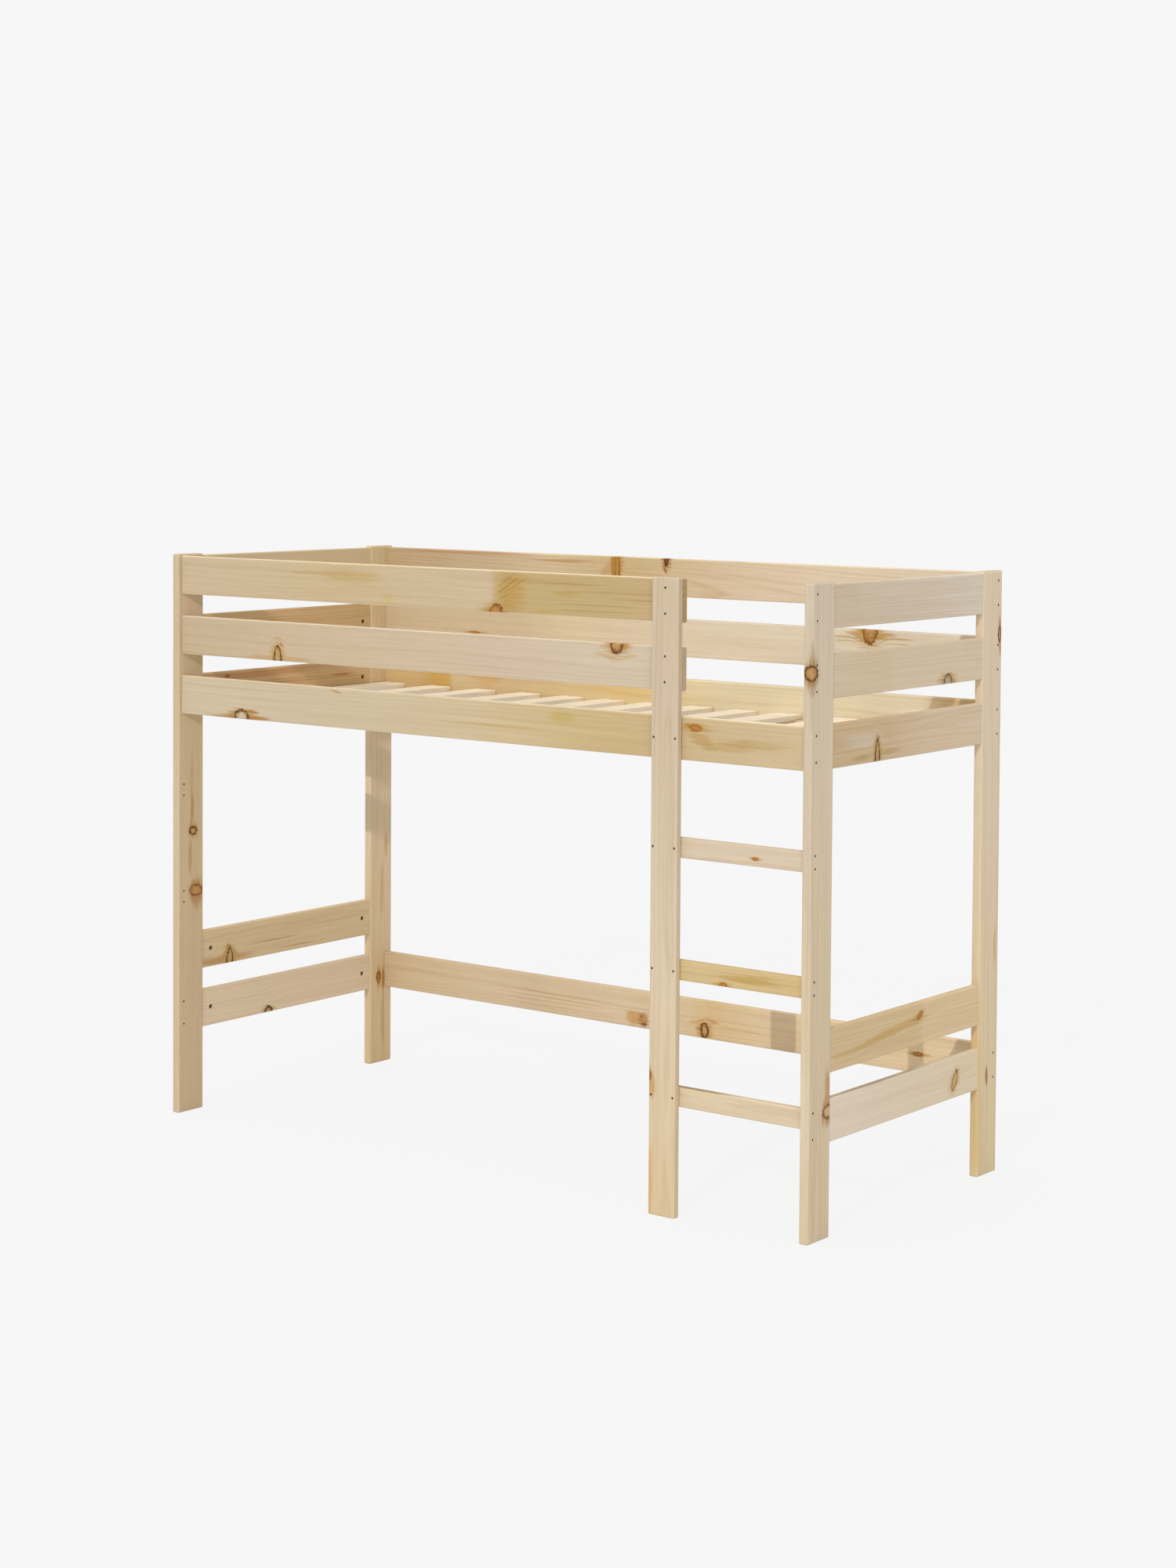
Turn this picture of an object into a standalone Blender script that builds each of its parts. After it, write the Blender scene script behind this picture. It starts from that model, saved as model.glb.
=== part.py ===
"""A mid sleeper bed in planed pine, as a flat-pack frame of separate boards.

Four corner posts stand with their wide faces to the bed's ends. Side rails butt
between the posts and are screwed through them into their end grain. The boards of
the two ends butt between the posts' narrow edges on cam fittings and dowels. A
ladder post stands in front of the rails near the right end, and three rungs run
from it to the right front post. Slats are screwed down on two ledgers.

Lengths are in metres, +Z is up, +X runs along the bed to the ladder end and -Y is
the ladder side. The origin is on the floor, under the middle of the whole bed.
"""

import math

import bmesh
import bpy
from mathutils import Matrix, Vector

# Overall size, for a mattress of 0.75 by 1.90
bed_length = 1.980
bed_width = 0.810
post_height = 1.446

# Corner posts
post_thickness = 0.023
post_width = 0.086

# Rails and end boards, all of one planed section
board_height = 0.098
board_thickness = 0.018
rail_setback = 0.009
end_board_setback = 0.002

# Heights: the low boards' centre lines, the step between rows of boards, and how far
# the top row stays under the posts' tops
low_level = 0.2595
level_pitch = 0.154
top_board_inset = 0.004

# Ladder post, in front of the rails
ladder_post_width = 0.074
ladder_post_thickness = 0.018
entry_width = 0.332
guard_end_inset = 0.003

# Rungs, in the plane of the front rails
rung_height = 0.046
rung_thickness = 0.018
rung_end_inset = 0.003
first_rung_level = 0.274

# The rungs, as shares of the rise from the first rung to the bed rail
rung_rise_shares = (0.0, 0.3545, 0.6955)

# Slat base
slat_width = 0.070
slat_thickness = 0.013
slat_end_gap = 0.002
slat_post_gap = 0.005
ledger_height = 0.018
ledger_width = 0.028
ledger_end_gap = 0.002

# The slats lie unevenly, as shares of the way from the first slat to the last
slat_place_shares = (
    0.0, 0.090, 0.177, 0.262, 0.341, 0.416, 0.492, 0.569, 0.644, 0.716, 0.809, 0.905, 1.0,
)

# Eased edges
edge_radius = 0.0035
slat_edge_radius = 0.002
edge_segments = 2

# Countersunk screws: the long ones of the frame and the thinner ones of the slat base
frame_head_radius = 0.003
frame_head_depth = 0.0022
frame_shank_radius = 0.0018
frame_screw_length = 0.060
ladder_screw_length = 0.032
thin_head_radius = 0.0035
thin_head_depth = 0.003
thin_shank_radius = 0.0018
thin_pan_height = 0.0015
ledger_screw_length = 0.040
slat_screw_length = 0.025
screw_tip_radius = 0.0006
screw_tip_length = 0.005

# Where the screws sit: off the board's, rung's or ladder post's centre line
rail_screw_offset = 0.029
rung_screw_offset = 0.0145
side_screw_offset = 0.030
spare_bore_radius = 0.0025

# Cam fittings and dowels that join the end boards to the posts
cam_inset = 0.030
cam_radius = 0.006
cam_height = 0.0095
cam_recess = 0.003
cam_slot_width = 0.0016
cam_slot_reach = 0.0042
cam_slot_depth = 0.0025
cam_bolt_radius = 0.003
cam_bolt_seat = 0.011
dowel_radius = 0.004
dowel_length = 0.030
dowel_offset = 0.030

# Clearance between pieces that touch, and how far a cutter runs past a face
fit_gap = 0.0003
cut_overrun = 0.002

# Sides of the round pieces that show, and of those inside the wood
seen_sides = 8
cam_sides = 10
hidden_sides = 6
smooth_angle = math.radians(50.0)

# Places that follow from the sizes above
post_proud = ladder_post_thickness + fit_gap - rail_setback
overall_depth = bed_width + post_proud
front_y = post_proud - overall_depth / 2
back_y = overall_depth / 2
right_x = bed_length / 2
left_x = -right_x
inner_right_x = right_x - post_thickness
inner_left_x = left_x + post_thickness
rail_length = inner_right_x - inner_left_x - 2 * fit_gap
front_rail_y = front_y + rail_setback + board_thickness / 2
back_rail_y = back_y - rail_setback - board_thickness / 2
end_board_x = right_x - end_board_setback - board_thickness / 2
end_board_length = bed_width - 2 * (post_width + fit_gap)
middle_y = (front_y + back_y) / 2
top_level = post_height - top_board_inset - board_height / 2
bed_level = top_level - 2 * level_pitch
guard_levels = (bed_level + level_pitch, top_level)
end_levels = (low_level, low_level + level_pitch, bed_level, *guard_levels)
rung_levels = [first_rung_level + share * (bed_level - first_rung_level) for share in rung_rise_shares]
ladder_right_x = inner_right_x - entry_width
ladder_left_x = ladder_right_x - ladder_post_width
ladder_x = (ladder_left_x + ladder_right_x) / 2
ladder_y = front_y + rail_setback - fit_gap - ladder_post_thickness / 2
ladder_front_y = ladder_y - ladder_post_thickness / 2
ledger_front_y = front_rail_y + board_thickness / 2 + fit_gap + ledger_width / 2
ledger_back_y = back_rail_y - board_thickness / 2 - fit_gap - ledger_width / 2
ledger_z = bed_level - board_height / 2 + ledger_height / 2
slat_z = ledger_z + ledger_height / 2 + fit_gap + slat_thickness / 2
slat_length = back_rail_y - front_rail_y - board_thickness - 2 * slat_end_gap
first_slat_x = inner_left_x + slat_post_gap + slat_width / 2
last_slat_x = inner_right_x - slat_post_gap - slat_width / 2
slat_places = [first_slat_x + share * (last_slat_x - first_slat_x) for share in slat_place_shares]

# Colours, as sRGB hex
cam_colour = "6B5F4C"
slat_colour = "F0E0C0"
ledger_colour = "D8BE93"

# Directions that screws are driven in
to_right = Vector((1.0, 0.0, 0.0))
to_left = -to_right
to_back = Vector((0.0, 1.0, 0.0))
to_front = -to_back
to_floor = Vector((0.0, 0.0, -1.0))


def clear_scene():
    for item in list(bpy.data.objects):
        bpy.data.objects.remove(item, do_unlink=True)


def linear_colour(code):
    """Turn an sRGB hex colour into the linear values that a shader takes."""
    channels = [int(code[i:i + 2], 16) / 255 for i in (0, 2, 4)]
    linear = [c / 12.92 if c <= 0.04045 else ((c + 0.055) / 1.055) ** 2.4 for c in channels]
    return (*linear, 1.0)


def surface(name, code, roughness, metallic):
    material = bpy.data.materials.new(name)
    material.use_nodes = True
    shader = material.node_tree.nodes["Principled BSDF"]
    shader.inputs["Base Color"].default_value = linear_colour(code)
    shader.inputs["Roughness"].default_value = roughness
    shader.inputs["Metallic"].default_value = metallic
    material.diffuse_color = linear_colour(code)
    return material


def add_object(name, mesh, material=None, location=(0.0, 0.0, 0.0)):
    item = bpy.data.objects.new(name, mesh)
    bpy.context.scene.collection.objects.link(item)
    item.parent = bed
    item.location = location
    if material:
        mesh.materials.append(material)
    return item


def to_mesh(name, shape):
    mesh = bpy.data.meshes.new(name)
    shape.to_mesh(mesh)
    shape.free()
    mesh.shade_smooth()
    mesh.set_sharp_from_angle(angle=smooth_angle)
    return mesh


def board(name, code, size, centre, radius=edge_radius, ease_ends=False):
    """A planed board whose long edges are eased, and its ends too where they are open."""
    shape = bmesh.new()
    bmesh.ops.create_cube(shape, size=1.0)
    bmesh.ops.scale(shape, vec=size, verts=shape.verts)
    run = max(range(3), key=lambda axis: size[axis])

    def is_eased(edge):
        along = edge.verts[1].co - edge.verts[0].co
        return ease_ends or abs(along[run]) > size[run] / 2

    eased = [edge for edge in shape.edges if is_eased(edge)]
    bmesh.ops.bevel(
        shape, geom=eased, offset=radius, segments=edge_segments, profile=0.5, affect="EDGES",
    )
    return add_object(name, to_mesh(name, shape), surface(name, code, 0.6, 0.0), centre)


def turned(name, profile, sides):
    """Spin a profile of (radius, height) points about Z and cap both ends."""
    shape = bmesh.new()
    points = [shape.verts.new((radius, 0.0, height)) for radius, height in profile]
    lines = [shape.edges.new(ends) for ends in zip(points, points[1:])]
    bmesh.ops.spin(
        shape, geom=points + lines, cent=(0.0, 0.0, 0.0), axis=(0.0, 0.0, 1.0),
        angle=2 * math.pi, steps=sides, use_merge=True,
    )
    rims = [edge for edge in shape.edges if edge.is_boundary]
    bmesh.ops.holes_fill(shape, edges=rims, sides=0)
    bmesh.ops.recalc_face_normals(shape, faces=shape.faces)
    return to_mesh(name, shape)


def aimed(point, direction):
    """The placement that stands a turned shape at a point, running in a direction."""
    turn = Vector((0.0, 0.0, 1.0)).rotation_difference(direction)
    return Matrix.Translation(point) @ turn.to_matrix().to_4x4()


def helper(name, placed):
    """One mesh of (solid, place) pairs. It only joins or cuts, so it is no part of the bed."""
    shape = bmesh.new()
    for solid, place in placed:
        start = len(shape.verts)
        shape.from_mesh(solid)
        shape.verts.ensure_lookup_table()
        bmesh.ops.transform(shape, matrix=place, verts=shape.verts[start:])
    item = add_object(name, to_mesh(name, shape))
    item.display_type = "WIRE"
    item.hide_render = True
    return item


def combine(piece, shape, operation):
    change = piece.modifiers.new(shape.name, "BOOLEAN")
    change.operation = operation
    change.solver = "EXACT"
    change.object = shape


def drive(piece, solid, places):
    """Fix a fastener in the piece that its thread or glue holds it in."""
    fastened.setdefault(piece, []).extend((solid, place) for place in places)


def bore(piece, solid, places):
    """Leave the holes that fasteners need in a piece."""
    bored.setdefault(piece, []).extend((solid, place) for place in places)


def finish_pieces():
    """Join each piece's fasteners to it in one step, and cut all its holes in another."""
    for piece, placed in fastened.items():
        combine(piece, helper(f"{piece.name}_fasteners", placed), "UNION")
    for piece, placed in bored.items():
        combine(piece, helper(f"{piece.name}_holes", placed), "DIFFERENCE")


def screw_solid(name, head_radius, head_depth, shank_radius, length, sides):
    profile = (
        (head_radius, 0.0),
        (shank_radius, head_depth),
        (shank_radius, length - screw_tip_length),
        (screw_tip_radius, length),
    )
    return turned(name, profile, sides)


def screw_bore(name, head_radius, head_depth, shank_radius, length, sides):
    """The hole of a countersunk screw, whose cone runs on past the face."""
    slope = (head_radius - shank_radius) / head_depth
    profile = (
        (head_radius + fit_gap + slope * cut_overrun, -cut_overrun),
        (shank_radius + fit_gap, head_depth),
        (shank_radius + fit_gap, length + fit_gap),
    )
    return turned(name, profile, sides)


def rod(name, radius, low, high, sides):
    return turned(name, ((radius, low), (radius, high)), sides)


def pair(level, offset):
    """The two screw heights above and below a centre line."""
    return [level - offset, level + offset]


def make_posts():
    """Corner posts, with eased edges all round."""
    colours = {
        "post_front_left": "C3AB8A", "post_front_right": "D1BD9F",
        "post_back_left": "C0A682", "post_back_right": "CFBB9C",
    }
    posts = {}
    for name, code in colours.items():
        right = name.endswith("right")
        front = "front" in name
        x = right_x - post_thickness / 2 if right else left_x + post_thickness / 2
        y = front_y + post_width / 2 if front else back_y - post_width / 2
        posts[name] = board(
            name, code, (post_thickness, post_width, post_height), (x, y, post_height / 2),
            ease_ends=True,
        )
    posts["ladder_post"] = board(
        "ladder_post", "D7C3A4", (ladder_post_width, ladder_post_thickness, post_height),
        (ladder_x, ladder_y, post_height / 2), ease_ends=True,
    )
    return posts


def make_rails():
    """Long rails between the posts, and the two front guard rails up to the ladder."""
    full = (rail_length, board_thickness, board_height)
    rail_start = inner_left_x + fit_gap
    guard_length = ladder_right_x - guard_end_inset - rail_start
    guard = (guard_length, board_thickness, board_height)
    guard_x = rail_start + guard_length / 2
    middle_x = rail_start + rail_length / 2
    middle_level = guard_levels[0]
    plan = (
        ("front_bed_rail", "D3C0A1", full, middle_x, front_rail_y, bed_level),
        ("front_middle_guard_rail", "D2C0A6", guard, guard_x, front_rail_y, middle_level),
        ("front_top_guard_rail", "CCB998", guard, guard_x, front_rail_y, top_level),
        ("back_low_rail", "D6C0A0", full, middle_x, back_rail_y, low_level),
        ("back_bed_rail", "DFC8A3", full, middle_x, back_rail_y, bed_level),
        ("back_middle_guard_rail", "DCC5A7", full, middle_x, back_rail_y, middle_level),
        ("back_top_guard_rail", "D0B38E", full, middle_x, back_rail_y, top_level),
    )
    return {name: board(name, code, size, (x, y, z)) for name, code, size, x, y, z in plan}


def make_end_boards():
    """Five boards at each end, between the narrow edges of its two posts."""
    names = ("lower_low", "upper_low", "bed", "middle_guard", "top_guard")
    colours = {
        "left": ("C3AE90", "BBA280", "C6AA7C", "C2A377", "C4A67B"),
        "right": ("D9CCB9", "CFBB99", "C6B093", "CAB99F", "C8BAA4"),
    }
    size = (board_thickness, end_board_length, board_height)
    boards = {}
    for end, side in (("left", -1), ("right", 1)):
        for part, code, level in zip(names, colours[end], end_levels):
            name = f"{end}_{part}_board"
            boards[name] = board(name, code, size, (side * end_board_x, middle_y, level))
    return boards


def make_rungs():
    start = ladder_left_x + rung_end_inset
    end = inner_right_x - fit_gap
    size = (end - start, rung_thickness, rung_height)
    y = front_y + rail_setback + rung_thickness / 2
    rungs = []
    for number, (code, level) in enumerate(zip(("DDCCAF", "CEB78A", "D7C5AC"), rung_levels), 1):
        rungs.append(board(f"ladder_rung_{number}", code, size, ((start + end) / 2, y, level)))
    return rungs


def make_slat_base():
    """Ledgers along the bed rails and the slats on them."""
    ledger_size = (rail_length - 2 * ledger_end_gap, ledger_width, ledger_height)
    ledger_x = (inner_left_x + inner_right_x) / 2
    ledgers = [
        board(name, ledger_colour, ledger_size, (ledger_x, y, ledger_z), slat_edge_radius)
        for name, y in (("front_ledger", ledger_front_y), ("back_ledger", ledger_back_y))
    ]
    slats = [
        board(
            f"slat_{number:02d}", slat_colour, (slat_width, slat_length, slat_thickness),
            (x, (front_rail_y + back_rail_y) / 2, slat_z), slat_edge_radius,
        )
        for number, x in enumerate(slat_places, 1)
    ]
    return ledgers, slats


def screw_posts(posts, rails, rungs):
    """Screws through the posts' wide faces into the rails' and rungs' end grain.

    Both front posts have the whole pattern of bores, so the ladder can go at either
    end. The bores that this assembly leaves unused stay open.
    """
    sizes = (frame_head_radius, frame_head_depth, frame_shank_radius, frame_screw_length)
    screw = screw_solid("frame_screw", *sizes, seen_sides)
    hole = screw_bore("frame_screw_bore", *sizes, seen_sides)
    spare = rod(
        "spare_bore", spare_bore_radius, -cut_overrun, post_thickness + cut_overrun, seen_sides,
    )
    back_rails = [rail for name, rail in rails.items() if name.startswith("back")]
    front_rails = [rail for name, rail in rails.items() if name.startswith("front")]
    heights = {rail: pair(rail.location.z, rail_screw_offset) for rail in rails.values()}
    heights.update({rung: pair(rung.location.z, rung_screw_offset) for rung in rungs[1:]})
    heights[rungs[0]] = [low_level + rail_screw_offset]
    pattern = []
    for level in (low_level, bed_level, *guard_levels):
        pattern += pair(level, rail_screw_offset)
    for level in rung_levels[1:]:
        pattern += pair(level, rung_screw_offset)
    plan = (
        ("back_left", back_rail_y, back_rails),
        ("back_right", back_rail_y, back_rails),
        ("front_left", front_rail_y, front_rails),
        ("front_right", front_rail_y, [rails["front_bed_rail"], *rungs]),
    )
    for corner, y, held in plan:
        post = posts[f"post_{corner}"]
        outer_x, inward = (left_x, to_right) if corner.endswith("left") else (right_x, to_left)
        used = []
        for piece in held:
            places = [aimed((outer_x, y, z), inward) for z in heights[piece]]
            drive(piece, screw, places)
            used += places
        bore(post, hole, used)
        if corner.startswith("front"):
            taken = [place.translation.z for place in used]
            unused = [z for z in pattern if min(abs(z - other) for other in taken) > fit_gap]
            bore(post, spare, [aimed((outer_x, y, z), inward) for z in unused])


def screw_ladder_post(posts, rails, rungs):
    """Two screws in each rail and rung behind the ladder post."""
    sizes = (frame_head_radius, frame_head_depth, frame_shank_radius, ladder_screw_length)
    screw = screw_solid("ladder_screw", *sizes, seen_sides)
    hole = screw_bore("ladder_screw_bore", *sizes, seen_sides)
    guards = [rails["front_middle_guard_rail"], rails["front_top_guard_rail"]]
    for piece in (*rungs, rails["front_bed_rail"], *guards):
        z = piece.location.z
        if piece in guards:
            points = [(ladder_x, height) for height in pair(z, rail_screw_offset)]
        else:
            points = [(ladder_x - side_screw_offset, z), (ladder_x + side_screw_offset, z)]
        places = [aimed((x, ladder_front_y, height), to_back) for x, height in points]
        drive(piece, screw, places)
        bore(posts["ladder_post"], hole, places)


def screw_slat_base(rails, ledgers, slats):
    """Ledgers screwed to the bed rails between slats, and each slat to both ledgers."""
    thin = (thin_head_radius, thin_head_depth, thin_shank_radius)
    pan_profile = (
        (thin_head_radius, -thin_pan_height),
        (thin_head_radius, thin_pan_height),
        (thin_shank_radius, thin_pan_height),
        (thin_shank_radius, ledger_screw_length - screw_tip_length),
        (screw_tip_radius, ledger_screw_length),
    )
    ledger_screw = turned("ledger_screw", pan_profile, hidden_sides)
    ledger_hole = rod(
        "ledger_screw_bore", thin_shank_radius + fit_gap, ledger_width - cut_overrun,
        ledger_screw_length + fit_gap, hidden_sides,
    )
    slat_screw = screw_solid("slat_screw", *thin, slat_screw_length, hidden_sides)
    slat_hole = screw_bore("slat_screw_bore", *thin, slat_screw_length, hidden_sides)
    between = [(a + b) / 2 for a, b in zip(slat_places[::2], slat_places[1::2])]
    slat_top = slat_z + slat_thickness / 2
    for ledger, outward in zip(ledgers, (to_front, to_back)):
        side = ledger.name.split("_")[0]
        y = ledger.location.y
        face_y = y - outward.y * ledger_width / 2
        rail_places = [aimed((x, face_y, ledger_z), outward) for x in between]
        drive(ledger, ledger_screw, rail_places)
        bore(rails[f"{side}_bed_rail"], ledger_hole, rail_places)
        for slat in slats:
            slat_end = [aimed((slat.location.x, y, slat_top), to_floor)]
            drive(ledger, slat_screw, slat_end)
            bore(slat, slat_hole, slat_end)


def cam_mesh():
    """A cam's drum with a screwdriver slot across its face, used for every cam."""
    drum = add_object("cam_drum", rod("cam_drum", cam_radius, 0.0, cam_height, cam_sides))
    shape = bmesh.new()
    bmesh.ops.create_cube(shape, size=1.0)
    slot_size = (2 * cam_slot_reach, cam_slot_width, 2 * cam_slot_depth)
    bmesh.ops.scale(shape, vec=slot_size, verts=shape.verts)
    slot = add_object("cam_slot", to_mesh("cam_slot", shape))
    combine(drum, slot, "DIFFERENCE")
    graph = bpy.context.evaluated_depsgraph_get()
    mesh = bpy.data.meshes.new_from_object(drum.evaluated_get(graph))
    mesh.name = "cam"
    mesh.materials.append(surface("cam_zinc", cam_colour, 0.45, 0.8))
    for item in (drum, slot):
        bpy.data.objects.remove(item, do_unlink=True)
    return mesh


def join_ends(posts, boards):
    """A cam fitting and two dowels at each end of each end board."""
    cam = cam_mesh()
    cam_hole = rod(
        "cam_bore", cam_radius + fit_gap, -cam_recess - cut_overrun, cam_height + fit_gap, cam_sides,
    )
    bolt = rod("cam_bolt", cam_bolt_radius, -cam_bolt_seat, cam_inset / 2, hidden_sides)
    bolt_hole = rod(
        "cam_bolt_bore", cam_bolt_radius + fit_gap, -cam_bolt_seat - fit_gap, cut_overrun,
        hidden_sides,
    )
    dowel = rod("dowel", dowel_radius, -dowel_length / 2, dowel_length / 2, hidden_sides)
    dowel_hole = rod(
        "dowel_bore", dowel_radius + fit_gap, -dowel_length / 2 - fit_gap, cut_overrun, hidden_sides,
    )
    for end, side in (("left", -1), ("right", 1)):
        outward = side * to_right
        for row, joint_y, inward in (
            ("front", front_y + post_width, to_back), ("back", back_y - post_width, to_front),
        ):
            post = posts[f"post_{row}_{end}"]
            for name, item in boards.items():
                if not name.startswith(end):
                    continue
                x, _, z = item.location
                cam_x = x + side * (cam_recess - board_thickness / 2)
                cam_y = joint_y + inward.y * (fit_gap + cam_inset)
                cam_place = aimed((cam_x, cam_y, z), outward)
                bolt_place = [aimed((x, joint_y, z), inward)]
                dowel_places = [aimed((x, joint_y, height), inward) for height in pair(z, dowel_offset)]
                drive(item, bolt, bolt_place)
                drive(item, dowel, dowel_places)
                bore(item, cam_hole, [cam_place])
                bore(post, bolt_hole, bolt_place)
                bore(post, dowel_hole, dowel_places)
                fitting = add_object(f"{name.removesuffix('_board')}_cam_{row}", cam)
                fitting.matrix_world = cam_place


clear_scene()
bed = bpy.data.objects.new("mid_sleeper_bed", None)
bpy.context.scene.collection.objects.link(bed)

# What each piece is joined to and cut by, as (solid, place) pairs
fastened = {}
bored = {}

corner_posts = make_posts()
side_rails = make_rails()
end_boards = make_end_boards()
ladder_rungs = make_rungs()
slat_ledgers, bed_slats = make_slat_base()
screw_posts(corner_posts, side_rails, ladder_rungs)
screw_ladder_post(corner_posts, side_rails, ladder_rungs)
screw_slat_base(side_rails, slat_ledgers, bed_slats)
join_ends(corner_posts, end_boards)
finish_pieces()
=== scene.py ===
"""Looks of a mid sleeper bed in planed, unfinished pine.

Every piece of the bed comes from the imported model, and no piece is added. This script
gives each board its own cut of pine: growth rings that run in three dimensions, knots
with the grain flowing round them, resin tints, end grain, and the steel of its screws
and bolts. It also sets the floor, the light and the camera.
"""

import math

import bmesh
import bpy
from mathutils import Matrix, Vector


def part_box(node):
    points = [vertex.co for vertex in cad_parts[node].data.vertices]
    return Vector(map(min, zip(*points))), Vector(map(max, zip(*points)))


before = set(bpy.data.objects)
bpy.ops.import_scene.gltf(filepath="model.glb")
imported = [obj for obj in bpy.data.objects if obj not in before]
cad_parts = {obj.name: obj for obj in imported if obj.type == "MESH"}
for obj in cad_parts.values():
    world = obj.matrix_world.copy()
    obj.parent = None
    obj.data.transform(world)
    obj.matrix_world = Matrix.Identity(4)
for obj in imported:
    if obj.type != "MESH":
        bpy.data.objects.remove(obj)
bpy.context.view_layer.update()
MM = 0.001


def linear(code):
    """Turn an sRGB hex colour into the linear values that a shader takes."""
    channels = [int(code[i:i + 2], 16) / 255 for i in (0, 2, 4)]
    shades = [c / 12.92 if c <= 0.04045 else ((c + 0.055) / 1.055) ** 2.4 for c in channels]
    return (*shades, 1.0)


def feed(tree, sockets, inputs):
    """Give each socket its value, or a link from the socket that feeds it."""
    for key, value in dict(inputs).items():
        if isinstance(value, bpy.types.NodeSocket):
            tree.links.new(value, sockets[key])
        else:
            sockets[key].default_value = value


def add(tree, kind, inputs=(), **settings):
    """Add a node with its settings and its inputs."""
    node = tree.nodes.new(kind)
    for name, value in settings.items():
        setattr(node, name, value)
    feed(tree, node.inputs, inputs)
    return node


def maths(tree, operation, *numbers):
    """The outcome of one operation on numbers."""
    return add(tree, "ShaderNodeMath", dict(enumerate(numbers)), operation=operation).outputs[0]


def vectors(tree, operation, *terms):
    """The outcome of one operation on vectors; SCALE takes a vector and a number."""
    keys = (0, "Scale") if operation == "SCALE" else (0, 1)
    node = add(tree, "ShaderNodeVectorMath", dict(zip(keys, terms)), operation=operation)
    return node.outputs["Value" if operation == "LENGTH" else "Vector"]


def split(tree, vector):
    """The three parts of a vector."""
    return add(tree, "ShaderNodeSeparateXYZ", {0: vector}).outputs


def fit(tree, value, start, end, low=0.0, high=1.0, curve="LINEAR"):
    """Carry a value over to another range: low at the start, high at the end."""
    inputs = dict(enumerate((value, start, end, low, high)))
    return add(tree, "ShaderNodeMapRange", inputs, interpolation_type=curve).outputs[0]


def mix(tree, share, first, second, data_type="RGBA", **settings):
    """Mix two colours or numbers; a share of 1 gives the second one alone."""
    inputs = {"Factor": share, "A": first, "B": second}
    return add(tree, "ShaderNodeMix", inputs, data_type=data_type, **settings).outputs["Result"]


def noise(tree, place, size, detail, **more):
    """Noise in spots of this size in metres, one length for all axes or one for each."""
    if isinstance(size, tuple):
        place = vectors(tree, "MULTIPLY", place, tuple(1 / length for length in size))
        size = 1.0
    inputs = {"Vector": place, "Scale": 1 / size, "Detail": detail, **more}
    return add(tree, "ShaderNodeTexNoise", inputs).outputs


def fray(tree, value, texture, amount):
    """Shift a value with a texture, by at most half of the amount either way."""
    return maths(tree, "ADD", value, maths(tree, "MULTIPLY_ADD", texture, amount, -amount / 2))


def new_group(name, inputs, outputs):
    """A node group, with what its inputs give and what its outputs take."""
    tree = bpy.data.node_groups.new(name, "ShaderNodeTree")
    for sockets, in_out in ((inputs, "INPUT"), (outputs, "OUTPUT")):
        for socket, kind in sockets.items():
            tree.interface.new_socket(socket, in_out=in_out, socket_type=f"NodeSocket{kind}")
    return tree, add(tree, "NodeGroupInput").outputs, add(tree, "NodeGroupOutput").inputs


def new_material(name):
    """A material, its node tree and its shader."""
    material = bpy.data.materials.new(name)
    material.use_nodes = True
    return material, material.node_tree, material.node_tree.nodes["Principled BSDF"]


def dress(name, material):
    """Put a material on every slot of a piece."""
    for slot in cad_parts[name].material_slots:
        slot.material = material


def set_stops(ramp, stops):
    """Set a ramp to these stops of a position and an sRGB hex colour."""
    while len(ramp.elements) > 1:
        ramp.elements.remove(ramp.elements[-1])
    for number, (position, code) in enumerate(stops):
        element = ramp.elements.new(position) if number else ramp.elements[0]
        element.position = position
        element.color = linear(code)


def across_the_branch(tree, given):
    """How far a point lies from a patch's centre, along the grain and across it.

    A branch slants as it goes in, and the patch that it leaves may lean.
    """
    along, across, deep = split(tree, vectors(tree, "SUBTRACT", given["Place"], given["Centre"]))
    level = maths(tree, "MULTIPLY_ADD", deep, given["Slant"], across)
    upright = maths(tree, "MULTIPLY_ADD", level, given["Lean"], along)
    return add(tree, "ShaderNodeCombineXYZ", {0: upright, 1: level}).outputs[0]


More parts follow.
